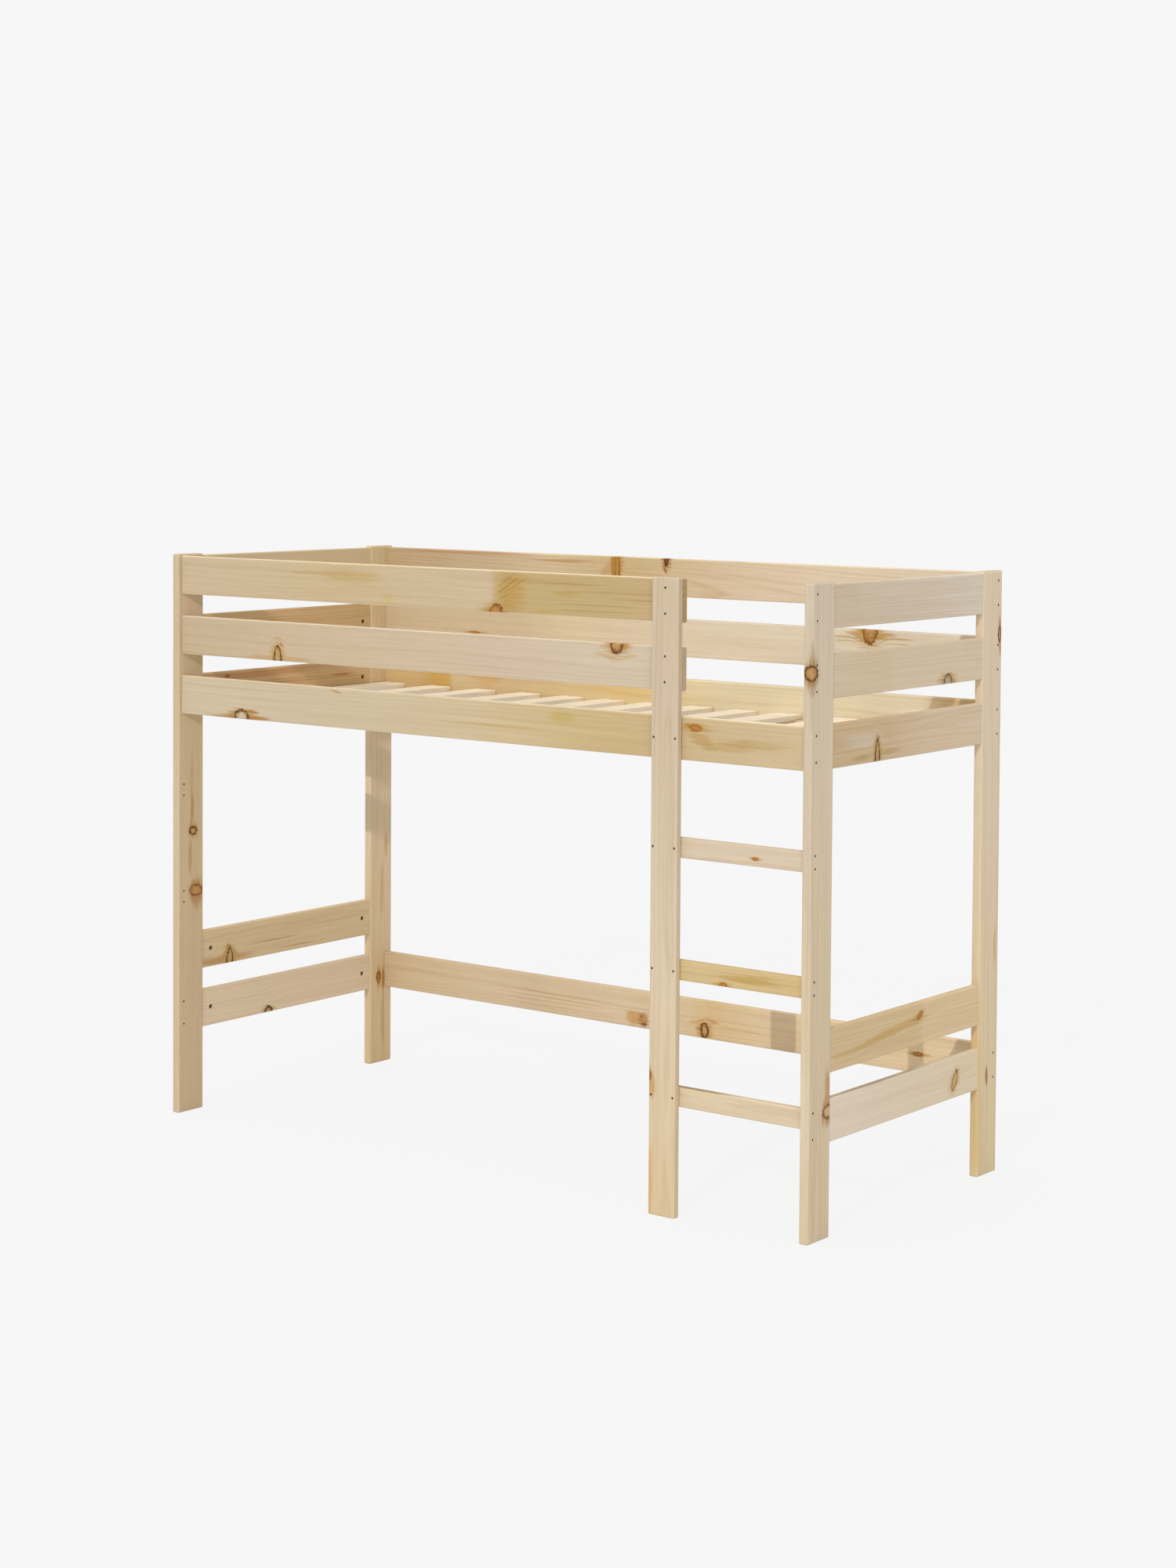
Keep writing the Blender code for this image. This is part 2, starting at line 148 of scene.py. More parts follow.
def make_knot_group():
    """One knot, a branch cut through: its reach, its resin and the grain bent round it.

    Place is the point in the board, along, across and deep. Bent is the same point
    after the knots so far have pushed the grain aside. Reach is 1 on the knot's edge.
    """
    tree, given, made = new_group(
        "pine_knot",
        {"Place": "Vector", "Bent": "Vector", "Centre": "Vector", "Half size": "Vector",
         "Slant": "Float", "Lean": "Float"},
        {"Bent": "Vector", "Reach": "Float", "Off rim": "Float", "Resin": "Float"},
    )
    flat = across_the_branch(tree, given)
    ratio = vectors(tree, "DIVIDE", flat, given["Half size"])
    reach = vectors(tree, "LENGTH", ratio)
    # The edge wanders by a millimetre or two, in bumps about 8 mm long
    bumps = noise(tree, given["Place"], 8 * MM, detail=2.0)[0]
    edge = fray(tree, reach, bumps, 0.6)
    # How far the point lies from the rim, in metres, so that bark is as thick all the way
    # round. The rim is a little inside the edge
    rim = 0.94
    stretch = maths(tree, "DIVIDE", vectors(tree, "LENGTH", flat), reach)
    off_rim = maths(tree, "MULTIPLY", maths(tree, "SUBTRACT", edge, rim), stretch)
    # Resin seeps out along the grain, to about 3 half lengths and 1.6 half widths from the
    # knot's centre, in wisps about 50 mm long and 4 mm wide
    resin_scale = (0.34, 0.62, 0.0)
    seep = vectors(tree, "LENGTH", vectors(tree, "MULTIPLY", ratio, resin_scale))
    wisps = noise(tree, given["Bent"], (50 * MM, 4 * MM, 4 * MM), detail=2.0)[0]
    resin = fit(tree, fray(tree, seep, wisps, 1.2), 1.0, 0.3, curve="SMOOTHSTEP")
    # The grain parts round the knot and closes again about 3.3 half lengths from its centre
    parting_scale = (0.30, 0.38, 0.0)
    most_push = 0.72
    parting = vectors(tree, "LENGTH", vectors(tree, "MULTIPLY", ratio, parting_scale))
    push = fit(tree, parting, 1.0, 0.0, high=most_push, curve="SMOOTHERSTEP")
    shove = vectors(tree, "SCALE", vectors(tree, "MULTIPLY", flat, (0, 1, 0)), push)
    bent = vectors(tree, "SUBTRACT", given["Bent"], shove)
    feed(tree, made, {"Bent": bent, "Reach": edge, "Off rim": off_rim, "Resin": resin})
    return tree


def make_knot_paint_group():
    """A knot's colours over the wood: resin, then the branch, paler inside, then bark."""
    tree, given, made = new_group(
        "knot_paint",
        {"Wood": "Color", "Place": "Vector", "Reach": "Float", "Off rim": "Float",
         "Resin": "Float", "Core colour": "Color", "Heart colour": "Color",
         "Bark colour": "Color", "Resin colour": "Color", "Bark width": "Float"},
        {"Color": "Color"},
    )
    seeped = mix(tree, given["Resin"], given["Wood"], given["Resin colour"])
    # The branch's wood is mottled in patches about 5 mm wide
    mottle = noise(tree, given["Place"], 5 * MM, detail=3.0)[0]
    patchy = fray(tree, given["Reach"], mottle, 1.2)
    core_share = fit(tree, patchy, 0.80, 0.35, curve="SMOOTHSTEP")
    branch = mix(tree, core_share, given["Heart colour"], given["Core colour"])
    inside = fit(tree, given["Reach"], 1.06, 0.92, curve="SMOOTHSTEP")
    cored = mix(tree, inside, seeped, branch)
    # The bark is a ring that thickens and thins, and breaks in places
    uneven = fit(tree, mottle, 0.3, 0.7, low=0.45, high=1.5)
    thickness = maths(tree, "MULTIPLY", uneven, given["Bark width"])
    rim_gap = maths(tree, "ABSOLUTE", given["Off rim"])
    bark = fit(tree, rim_gap, thickness, 0.0, curve="SMOOTHSTEP")
    feed(tree, made, {"Color": mix(tree, bark, cored, given["Bark colour"])})
    return tree


def make_tint_group():
    """A soft patch of another tone, drawn out along the grain: resin, heartwood, a stain, or a
    darker line along an edge.
    """
    tree, given, made = new_group(
        "wood_tint",
        {"Wood": "Color", "Place": "Vector", "Centre": "Vector", "Half size": "Vector",
         "Slant": "Float", "Lean": "Float", "Tint": "Color", "Strength": "Float"},
        {"Color": "Color"},
    )
    ratio = vectors(tree, "DIVIDE", across_the_branch(tree, given), given["Half size"])
    # The edge feathers along the fibres, in wisps about 60 mm long and 5 mm wide
    wisps = noise(tree, given["Place"], (60 * MM, 5 * MM, 5 * MM), detail=2.0)[0]
    edge = fray(tree, vectors(tree, "LENGTH", ratio), wisps, 1.2)
    mask = fit(tree, edge, 1.15, 0.4, high=given["Strength"], curve="SMOOTHSTEP")
    feed(tree, made, {"Color": mix(tree, mask, given["Wood"], given["Tint"])})
    return tree


def make_pine_group():
    """Planed pine: pale earlywood, darker latewood lines, streaks, fibres and end grain."""
    tree, given, made = new_group(
        "planed_pine",
        {"Place": "Vector", "Bent": "Vector", "Body": "Color", "Line": "Color",
         "Pith": "Vector", "Lean": "Vector", "Ring width": "Float", "Lines": "Float",
         "Streaks": "Float", "Seed": "Float", "Facing": "Float"},
        {"Color": "Color", "Roughness": "Float", "Height": "Float"},
    )
    # Each board is cut from its own place in the wood, this many metres on for each seed
    seed_step = (7.1, 3.3, 5.7)
    shift = vectors(tree, "SCALE", seed_step, given["Seed"])
    seeded = vectors(tree, "ADD", given["Bent"], shift)
    # The rings wander by some millimetres over about 0.7 m of trunk
    wander = noise(tree, seeded, (700 * MM, 120 * MM, 120 * MM), detail=2.0)["Color"]
    centred = vectors(tree, "SUBTRACT", wander, (0.5, 0.5, 0.5))
    drift = vectors(tree, "MULTIPLY", centred, (0.0, 20 * MM, 20 * MM))
    moved = vectors(tree, "ADD", given["Bent"], drift)
    along = split(tree, given["Place"])[0]
    pith = vectors(tree, "ADD", given["Pith"], vectors(tree, "SCALE", given["Lean"], along))
    from_pith = vectors(tree, "SUBTRACT", moved, pith)
    radius = vectors(tree, "LENGTH", vectors(tree, "MULTIPLY", from_pith, (0, 1, 1)))
    age = maths(tree, "DIVIDE", radius, given["Ring width"])
    # Earlywood darkens slowly into latewood, which stops at once
    ring = add(tree, "ShaderNodeValToRGB", {0: maths(tree, "FRACT", age)})
    year = ((0.0, "000000"), (0.45, "505050"), (0.86, "FFFFFF"), (1.0, "000000"))
    set_stops(ring.color_ramp, year)
    # Years differ, so some lines are strong and some hardly show
    birth = maths(tree, "ADD", age, given["Seed"])
    vigour = add(
        tree, "ShaderNodeTexNoise", {"W": birth, "Scale": 0.55, "Detail": 1.0},
        noise_dimensions="1D",
    )
    strong = fit(tree, vigour.outputs[0], 0.34, 0.66, low=0.25)
    line = maths(tree, "MULTIPLY", ring.outputs[0], strong)
    line_share = maths(tree, "MULTIPLY", line, given["Lines"])
    # Streaks of tone, about 9 mm wide and half a metre long, with finer ones in them
    flow = vectors(tree, "ADD", seeded, drift)
    streak = noise(tree, flow, (500 * MM, 9 * MM, 9 * MM), detail=3.0, Roughness=0.6)[0]
    streak_share = maths(tree, "MULTIPLY", fit(tree, streak, 0.36, 0.70), given["Streaks"])
    # Fibres are finer than a render shows, so they are drawn 1.2 mm wide and 40 mm long
    fibre = noise(tree, flow, (40 * MM, 1.2 * MM, 1.2 * MM), detail=1.0)[0]
    fibre_share = fit(tree, fibre, 0.35, 0.7, high=0.10)
    dark = maths(tree, "ADD", maths(tree, "ADD", line_share, streak_share), fibre_share)
    # Sawn ends soak up light, and there the rings show as dark arcs
    sawn = fit(tree, maths(tree, "ABSOLUTE", given["Facing"]), 0.7, 0.95)
    soaked = maths(tree, "MULTIPLY_ADD", line, 0.5, 0.16)
    total = maths(tree, "ADD", dark, maths(tree, "MULTIPLY", sawn, soaked))
    wood = mix(tree, total, given["Body"], given["Line"], blend_type="MULTIPLY")
    # Hard latewood planes smoother than earlywood, and it stands up a little
    roughness = fit(tree, total, 0.0, 0.4, low=0.58, high=0.48)
    height = maths(tree, "MULTIPLY_ADD", fibre, 0.6, line)
    feed(tree, made, {"Color": wood, "Roughness": roughness, "Height": height})
    return tree


def make_fixing_group():
    """Steel where a board's node runs out past its wood, and the socket in a screw's head, where
    shade is painted.

    Screws lie mirrored about a middle. Rows is the middle of those in the end grain and
    Face of those that come through the ladder post, and each has its own spread.
    """
    tree, given, made = new_group(
        "fixings",
        {"Point": "Vector", "Low": "Vector", "High": "Vector", "Rows": "Vector",
         "Rows spread": "Vector", "Face": "Vector", "Face spread": "Vector",
         "Steel height": "Float"},
        {"Steel": "Float", "Socket": "Float"},
    )
    wood_tolerance = 0.05 * MM
    socket_radius = 1.4 * MM
    below = vectors(tree, "SUBTRACT", given["Low"], given["Point"])
    above = vectors(tree, "SUBTRACT", given["Point"], given["High"])
    past = split(tree, vectors(tree, "MAXIMUM", below, above))
    furthest = maths(tree, "MAXIMUM", maths(tree, "MAXIMUM", past[0], past[1]), past[2])
    outside = maths(tree, "GREATER_THAN", furthest, wood_tolerance)
    off_middle = {}
    gaps = []
    for middle, plane in (("Rows", (0, 1, 1)), ("Face", (1, 0, 1))):
        away = vectors(tree, "SUBTRACT", given["Point"], given[middle])
        off_middle[middle] = vectors(tree, "ABSOLUTE", away)
        off = vectors(tree, "SUBTRACT", off_middle[middle], given[f"{middle} spread"])
        gaps.append(vectors(tree, "LENGTH", vectors(tree, "MULTIPLY", off, plane)))
    socket = maths(tree, "LESS_THAN", maths(tree, "MINIMUM", *gaps), socket_radius)
    # Dowels sit above and below a cam bolt, and they are wood
    height = split(tree, off_middle["Rows"])[2]
    steel_band = maths(tree, "LESS_THAN", height, given["Steel height"])
    steel = maths(tree, "MULTIPLY", outside, steel_band)
    feed(tree, made, {"Steel": steel, "Socket": socket})
    return tree


knot_group = make_knot_group()
knot_paint_group = make_knot_paint_group()
tint_group = make_tint_group()
pine_group = make_pine_group()
fixing_group = make_fixing_group()

# Colours of latewood, of the painted shade on a bore's walls, and of a screw and the painted shade
# in the socket of its head
LATEWOOD = linear("C8A878")
BORE_SHADE = linear("2A1C10")
SCREW = linear("75695C")
SOCKET_SHADE = linear("2A221B")

# Planed wood has little sheen and hardly any relief, and dulled zinc is only partly bright
WOOD_SHEEN = 0.35
RELIEF = 0.10
RELIEF_DEPTH = 0.3 * MM
SCREW_METAL = 0.6
SCREW_ROUGHNESS = 0.42

# How each kind of board lies: which axes run along its grain, across it and deep into it
LIES = {
    "rail": "XZY", "end": "YZX", "upright": "ZYX", "ladder": "ZXY", "slat": "YXZ",
    "ledger": "XYZ",
}

# Colours of a knot's core, heart, bark and resin, and how wide the bark is in millimetres
KNOTS = {
    "golden": ("BC823A", "9C6A28", "6E3E08", "B08840", 3.0),
    "amber": ("AA7234", "94622A", "865818", "B28C4A", 4.0),
    "straw": ("B27A36", "A86E28", "9A641E", "BE9656", 2.0),
    "brown": ("BC9058", "96682E", "5A3208", "B4863E", 5.0),
    "honey": ("BC8E58", "A6763A", "74480C", "BC9038", 6.0),
    "grained": ("B08440", "A4722E", "744410", "B48834", 3.2),
    "dark": ("7E4E26", "623A18", "42220A", "A87A40", 2.5),
    "ringed": ("C8B494", "A88658", "52300A", "A87A32", 6.0),
    "corner": ("B68C54", "A27840", "5A340C", "A07A3A", 5.0),
    "arched": ("BC945C", "B0884E", "462606", "BC9654", 6.6),
    "grey": ("B6A282", "A89270", "5E4420", "B88E56", 4.4),
    "loop": ("C8A468", "C09656", "7A5220", "C6A878", 3.4),
    "pale": ("CBA878", "BE9A66", "74461A", "AE7E44", 5.8),
    "swirl": ("BA8A50", "A8763C", "74491C", "AE8044", 4.4),
}

# Fastenings are solid with a board and run out past its wood, by these lengths in
# millimetres
RAIL_END = 23.3
LADDER_SIDE = 18.3
BOLT_END = 15.3
LEDGER_SCREW_POINT = 12
LEDGER_SCREW_HEAD = 1.5
SLAT_SCREW = 13.3

# Where the ladder post stands, and how far its screws and the end screws of boards and
# rungs lie from the board's middle
LADDER_X = 598 * MM
BOARD_SCREWS = 29 * MM
RUNG_SCREWS = 14.5 * MM
SIDE_SCREWS = 30 * MM
NOWHERE = (9.0, 9.0, 9.0)

# A spread that puts the sockets outside the bed, and how far above and below the middle
# a fastening is steel
NO_SOCKETS = 1.0
ALL_STEEL = 1.0
BOLT_STEEL = 5 * MM

# How far fastenings run out on a board's low and high sides, the spread of the screws in
# its ends and of those through the ladder post, and how far from the middle is steel
FIXINGS = {
    "back rail": ((RAIL_END, 0, 0), (RAIL_END, 0, 0), BOARD_SCREWS, None, ALL_STEEL),
    "bed rail": (
        (RAIL_END, LADDER_SIDE, 0), (RAIL_END, 0, 0), BOARD_SCREWS, (SIDE_SCREWS, 0, 0),
        ALL_STEEL,
    ),
    "guard rail": (
        (RAIL_END, LADDER_SIDE, 0), (0, 0, 0), BOARD_SCREWS, (0, 0, BOARD_SCREWS), ALL_STEEL,
    ),
    "rung": (
        (0, LADDER_SIDE, 0), (RAIL_END, 0, 0), RUNG_SCREWS, (SIDE_SCREWS, 0, 0), ALL_STEEL,
    ),
    "end board": ((0, BOLT_END, 0), (0, BOLT_END, 0), 0.0, None, BOLT_STEEL),
    "front ledger": (
        (0, LEDGER_SCREW_POINT, 0), (0, LEDGER_SCREW_HEAD, SLAT_SCREW), NO_SOCKETS, None,
        ALL_STEEL,
    ),
    "back ledger": (
        (0, LEDGER_SCREW_HEAD, 0), (0, LEDGER_SCREW_POINT, SLAT_SCREW), NO_SOCKETS, None,
        ALL_STEEL,
    ),
}

# Where the row of bores runs down each pair of posts, half of the widest bore, and how
# much of a post's ends has none
FRONT_BORES = -382.35 * MM
BACK_BORES = 391.65 * MM
BORE_REACH = 3.4 * MM
BORELESS_END = 8 * MM


def patch(along, across, half_long, half_wide, lean=0.0, depth=0.0, slant=0.0):
    """Where a knot or a tint lies, as inputs of its group."""
    return {
        "Centre": (along, across, depth), "Half size": (half_long, half_wide, 1.0),
        "Slant": slant, "Lean": lean,
    }


def paint_bore_shade(tree, colour, axes, facing, row, foot, top):
    """Paint shade on the walls of a post's bores, a painted shade for the dark inside of a deep
    bore.

    An empty bore then reads as a dark point.
    """
    beside = maths(tree, "COMPARE", axes[1], row, BORE_REACH)
    half_run = (top - foot) / 2 - BORELESS_END
    between = maths(tree, "COMPARE", axes[2], (foot + top) / 2, half_run)
    # The post's wide faces look along the bed, and the walls of its bores across it
    most_facing = 0.5
    turned_in = maths(tree, "COMPARE", facing[0], 0.0, most_facing)
    walls = maths(tree, "MULTIPLY", maths(tree, "MULTIPLY", beside, between), turned_in)
    return mix(tree, walls, colour, BORE_SHADE)


def show_fixings(tree, colour, roughness, point, low, high, fixing):
    """Zinc-plated steel, dulled by handling, over a board's wood, with painted shade in each
    screw's socket.

    Screws read as dark grey points. The steel's colour, roughness and metal are given.
    """
    before, after, end_spread, face_spread, steel_height = FIXINGS[fixing]
    wood_low = [side + MM * length for side, length in zip(low, before)]
    wood_high = [side - MM * length for side, length in zip(high, after)]
    middle = [(a + b) / 2 for a, b in zip(wood_low, wood_high)]
    shown = add(
        tree, "ShaderNodeGroup",
        {"Point": point, "Low": wood_low, "High": wood_high, "Rows": middle,
         "Rows spread": (0, 0, end_spread),
         "Face": (LADDER_X, 0, middle[2]) if face_spread else NOWHERE,
         "Face spread": face_spread or (0, 0, 0), "Steel height": steel_height},
        node_tree=fixing_group,
    ).outputs
    # Painted shade fills the socket in each screw's head
    head = mix(tree, shown["Socket"], SCREW, SOCKET_SHADE)
    return (
        mix(tree, shown["Steel"], colour, head),
        mix(tree, shown["Steel"], roughness, SCREW_ROUGHNESS, data_type="FLOAT"),
        maths(tree, "MULTIPLY", shown["Steel"], SCREW_METAL),
    )


def pine(name, lie, tones, seed, knots=(), tints=(), pith=(10, 70), lean=(0.0, 0.0), ring=5.0,
         lines=0.15, streaks=0.16, edge=None, fixing=None, bores=None):
    """A board's own cut of planed pine, matt and pale, with a faint sheen on the latewood.

    tones are (place along the grain, hex colour). A knot is (along, across, half
    length, half width, kind) and a tint (along, across, half length, half width, hex
    colour, strength), in metres of the bed's own axes. Either may add how far it leans
    along the grain for each metre across. One that wraps round a post's corner also
    adds the corner's depth and the branch's slant. pith is where the trunk's centre
    lies off the board's middle, across and deep, and ring is the growth rings' width,
    both in millimetres. lean is how far the pith drifts for each metre. lines and
    streaks are how much they darken the wood. edge is a paler colour painted on the
    board's narrow edges as a painted highlight, fixing its kind in FIXINGS, and bores
    is where a post's row of bores lies, whose walls get painted shade.
    """
    low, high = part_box(name)
    material, tree, shader = new_material(f"planed_pine_{name}")
    coordinates = add(tree, "ShaderNodeTexCoord").outputs
    point = coordinates["Object"]
    axes = split(tree, point)
    facing = split(tree, coordinates["Normal"])
    order = ["XYZ".index(axis) for axis in LIES[lie]]
    grain_axis, cross_axis = order[:2]
    turned_axes = {number: axes[axis] for number, axis in enumerate(order)}
    place = bent = add(tree, "ShaderNodeCombineXYZ", turned_axes).outputs[0]
    cuts = []
    for along, across, half_long, half_wide, kind, *turned in knots:
        where = patch(along, across, half_long, half_wide, *turned)
        cut = add(
            tree, "ShaderNodeGroup", {"Place": place, "Bent": bent, **where},
            node_tree=knot_group,
        ).outputs
        bent = cut["Bent"]
        cuts.append((cut, kind))
    # The tone along the grain, and the tints over it
    start, end = low[grain_axis], high[grain_axis]
    body = add(tree, "ShaderNodeValToRGB", {0: fit(tree, axes[grain_axis], start, end)})
    set_stops(body.color_ramp, [((at - start) / (end - start), code) for at, code in tones])
    colour = body.outputs[0]
    for along, across, half_long, half_wide, code, strength, *turned in tints:
        where = patch(along, across, half_long, half_wide, *turned)
        colour = add(
            tree, "ShaderNodeGroup",
            {"Wood": colour, "Place": bent, "Tint": linear(code), "Strength": strength, **where},
            node_tree=tint_group,
        ).outputs["Color"]
    if edge:
        # Painted highlight: a board's narrow edges and their rounded arrises are painted paler, as
        # if they caught the light
        highlight_share = fit(tree, maths(tree, "ABSOLUTE", facing[cross_axis]), 0.35, 0.75)
        colour = mix(tree, highlight_share, colour, linear(edge))
    middle = [(low[axis] + high[axis]) / 2 for axis in order]
    wood = add(
        tree, "ShaderNodeGroup",
        {"Place": place, "Bent": bent, "Body": colour, "Line": LATEWOOD,
         "Pith": (0.0, middle[1] + pith[0] * MM, middle[2] + pith[1] * MM),
         "Lean": (0.0, *lean), "Ring width": ring * MM, "Lines": lines, "Streaks": streaks,
         "Seed": seed, "Facing": facing[grain_axis]},
        node_tree=pine_group,
    ).outputs
    colour = wood["Color"]
    for cut, kind in cuts:
        core, heart, bark, resin, bark_width = KNOTS[kind]
        colour = add(
            tree, "ShaderNodeGroup",
            {"Wood": colour, "Place": place, "Reach": cut["Reach"], "Off rim": cut["Off rim"],
             "Resin": cut["Resin"], "Core colour": linear(core), "Heart colour": linear(heart),
             "Bark colour": linear(bark), "Resin colour": linear(resin),
             "Bark width": bark_width * MM},
            node_tree=knot_paint_group,
        ).outputs["Color"]
    # Painted shade darkens the walls of a post's bores
    if bores:
        colour = paint_bore_shade(tree, colour, axes, facing, bores, low[2], high[2])
    roughness, metal = wood["Roughness"], 0.0
    if fixing:
        colour, roughness, metal = show_fixings(tree, colour, roughness, point, low, high, fixing)
    relief = {"Height": wood["Height"], "Strength": RELIEF, "Distance": RELIEF_DEPTH}
    feed(tree, shader.inputs, {
        "Base Color": colour, "Roughness": roughness, "Metallic": metal,
        "Specular IOR Level": WOOD_SHEEN, "Normal": add(tree, "ShaderNodeBump", relief).outputs[0],
    })
    dress(name, material)


# The front rails, seen straight on: cream sapwood to the left, olive heartwood to the right
pine(
    "front_top_guard_rail", "rail",
    [(-0.97, "CBB999"), (-0.45, "CCB994"), (0.07, "CEBB9B"), (0.09, "C4AB78"), (0.62, "C5AD80")],
    1.0,
    knots=[(0.0855, 1.342, 0.0206, 0.0215, "golden", -0.25)],
    tints=[(-0.377, 1.411, 0.11, 0.022, "BFA660", 0.50),
           (-0.253, 1.359, 0.024, 0.018, "C9B66C", 0.50),
           (-0.46, 1.414, 0.17, 0.004, "BE9558", 0.45),
           (0.17, 1.425, 0.06, 0.012, "BCA062", 0.45),
           (0.135, 1.392, 0.048, 0.055, "BC964C", 0.75),
           (0.118, 1.420, 0.004, 0.020, "A6823A", 0.65, -1.5),
           (0.112, 1.400, 0.004, 0.026, "A6823A", 0.65, -1.5),
           (0.116, 1.380, 0.004, 0.022, "A6823A", 0.65, -1.4),
           (0.140, 1.405, 0.005, 0.028, "AC8A40", 0.60, -1.8),
           (0.128, 1.410, 0.003, 0.026, "A6823A", 0.60, -1.6),
           (0.45, 1.402, 0.18, 0.0026, "A88C50", 0.45),
           (0.40, 1.372, 0.16, 0.0024, "A88C50", 0.42),
           (0.52, 1.388, 0.10, 0.0026, "A48A54", 0.45),
           (0.30, 1.418, 0.13, 0.0030, "A88E4C", 0.45),
           (0.38, 1.358, 0.12, 0.0026, "A88E50", 0.40),
           (0.30, 1.396, 0.05, 0.007, "B49E4C", 0.60),
           (0.24, 1.352, 0.04, 0.004, "BCA650", 0.60)],
    pith=(-90, 40), ring=4.6, lines=0.24, streaks=0.18, edge="EBDCBC", fixing="guard rail",
)
pine(
    "front_middle_guard_rail", "rail",
    [(-0.97, "C5B292"), (-0.6, "CAB699"), (-0.3, "CDBA9D"), (0.1, "D1BDA5"), (0.5, "D2C3AB")],
    2.0,
    knots=[(-0.624, 1.190, 0.0126, 0.040, "arched"), (0.447, 1.290, 0.0185, 0.0255, "brown")],
    tints=[(-0.611, 1.2180, 0.008, 0.0055, "A87226", 0.95),
           (-0.69, 1.196, 0.06, 0.008, "C0985A", 0.50),
           (-0.56, 1.196, 0.06, 0.008, "C0985A", 0.50),
           (0.472, 1.262, 0.045, 0.006, "C4A05C", 0.50),
           (0.418, 1.262, 0.045, 0.006, "C4A05C", 0.50)],
    pith=(25, 80), ring=6.0, lines=0.16, edge="ECDFC6", fixing="guard rail",
)
pine(
    "front_bed_rail", "rail",
    [(-0.97, "CDBEA2"), (-0.5, "CDBDA0"), (0.0, "D0BE9B"), (0.3, "CCB789"), (0.45, "CBB284"),
     (0.7, "CCB68D"), (0.97, "D1BD98")], 3.0,
    knots=[(-0.750, 1.043, 0.0240, 0.0165, "ringed"), (0.6715, 1.1108, 0.0190, 0.0082, "straw")],
    tints=[(-0.716, 1.0520, 0.026, 0.0058, "A8742A", 0.95, -4.0),
           (-0.688, 1.0410, 0.046, 0.0060, "AC7A30", 0.85),
           (-0.81, 1.040, 0.05, 0.006, "A87A3A", 0.65),
           (0.650, 1.1135, 0.013, 0.0042, "8E5C26", 0.90),
           (0.690, 1.084, 0.036, 0.026, "B48C3C", 0.55, 0.9),
           (0.77, 1.076, 0.08, 0.016, "B8944A", 0.45),
           (-0.424, 1.125, 0.012, 0.0055, "B4823E", 0.75, 4.0),
           (0.09, 1.077, 0.19, 0.004, "C29E58", 0.50),
           (0.2895, 1.109, 0.045, 0.018, "C2A85C", 0.65),
           (0.84, 1.083, 0.10, 0.012, "B69450", 0.42)],
    pith=(-30, 75), ring=6.5, lines=0.18, edge="EBDBBC", fixing="bed rail",
)

# The ladder post and the four corner posts
pine(
    "ladder_post", "ladder",
    [(0.0, "DAC5A0"), (0.7, "D8C8AE"), (1.2, "CFBDA4"), (1.446, "D0BEA3")], 4.0,
    knots=[(0.3185, 0.5615, 0.012, 0.0065, "amber")],
    tints=[(0.95, 0.588, 0.35, 0.006, "C9B08C", 0.40),
           (0.298, 0.566, 0.036, 0.017, "C49848", 0.75),
           (0.07, 0.567, 0.10, 0.008, "CFA35C", 0.60)],
    pith=(15, 60), ring=5.0, lines=0.18,
)
pine(
    "post_front_left", "upright", [(0.0, "CBB391"), (0.7, "CEB793"), (1.446, "CCB894")], 5.0,
    knots=[(0.729, -0.3495, 0.0101, 0.0130, "brown"), (0.573, -0.340, 0.0145, 0.022, "swirl")],
    tints=[(0.785, -0.3535, 0.060, 0.009, "AE8640", 0.70),
           (0.86, -0.3545, 0.10, 0.007, "B08A50", 0.40),
           (0.660, -0.3600, 0.055, 0.007, "B08A48", 0.60),
           (0.72, -0.401, 1.5, 0.009, "D0BC9F", 0.70),
           (0.55, -0.335, 0.03, 0.022, "AC8A5C", 0.50),
           (0.575, -0.3467, 0.028, 0.0045, "B07E36", 0.80),
           (1.38, -0.355, 0.16, 0.045, "D6BCA0", 0.70)],
    pith=(30, 60), ring=5.0, lines=0.16, bores=FRONT_BORES,
)
pine(
    "post_front_right", "upright",
    [(0.0, "D9C5A6"), (0.6, "D9C7A9"), (1.0, "DCCBB2"), (1.446, "D7C9B4")], 6.0,
    knots=[(1.2505, -0.40035, 0.0165, 0.0215, "corner", 0.0, 0.990, 1.0),
           (0.2815, -0.3225, 0.0147, 0.022, "pale")],
    tints=[(1.295, -0.40035, 0.035, 0.006, "A07A38", 0.65, 0.0, 0.990, 1.0),
           (1.208, -0.40035, 0.012, 0.009, "8A6230", 0.75, 0.0, 0.990, 1.0),
           (1.165, -0.40035, 0.050, 0.008, "B08E50", 0.45, 0.0, 0.990, 1.0),
           (1.0, -0.401, 0.5, 0.009, "CABBA3", 0.55),
           (0.335, -0.326, 0.045, 0.014, "B27E42", 0.65),
           (0.30, -0.401, 0.14, 0.009, "E0D0B6", 0.70)],
    pith=(-25, 65), ring=5.5, lines=0.18, bores=FRONT_BORES,
)
pine(
    "post_back_left", "upright",
    [(0.0, "D4BB8F"), (0.75, "DCC7A6"), (1.2, "D6BF9A"), (1.446, "D9C69E")], 7.0,
    knots=[(0.2404, 0.3578, 0.0165, 0.0080, "amber")],
    tints=[(0.235, 0.3760, 0.036, 0.011, "AE7E38", 0.90),
           (0.12, 0.375, 0.10, 0.010, "B8924E", 0.50),
           (0.605, 0.386, 0.040, 0.006, "B88E40", 0.60),
           (0.49, 0.371, 0.080, 0.008, "BC9650", 0.50)],
    pith=(-15, 70), ring=5.0, lines=0.18, bores=BACK_BORES,
)
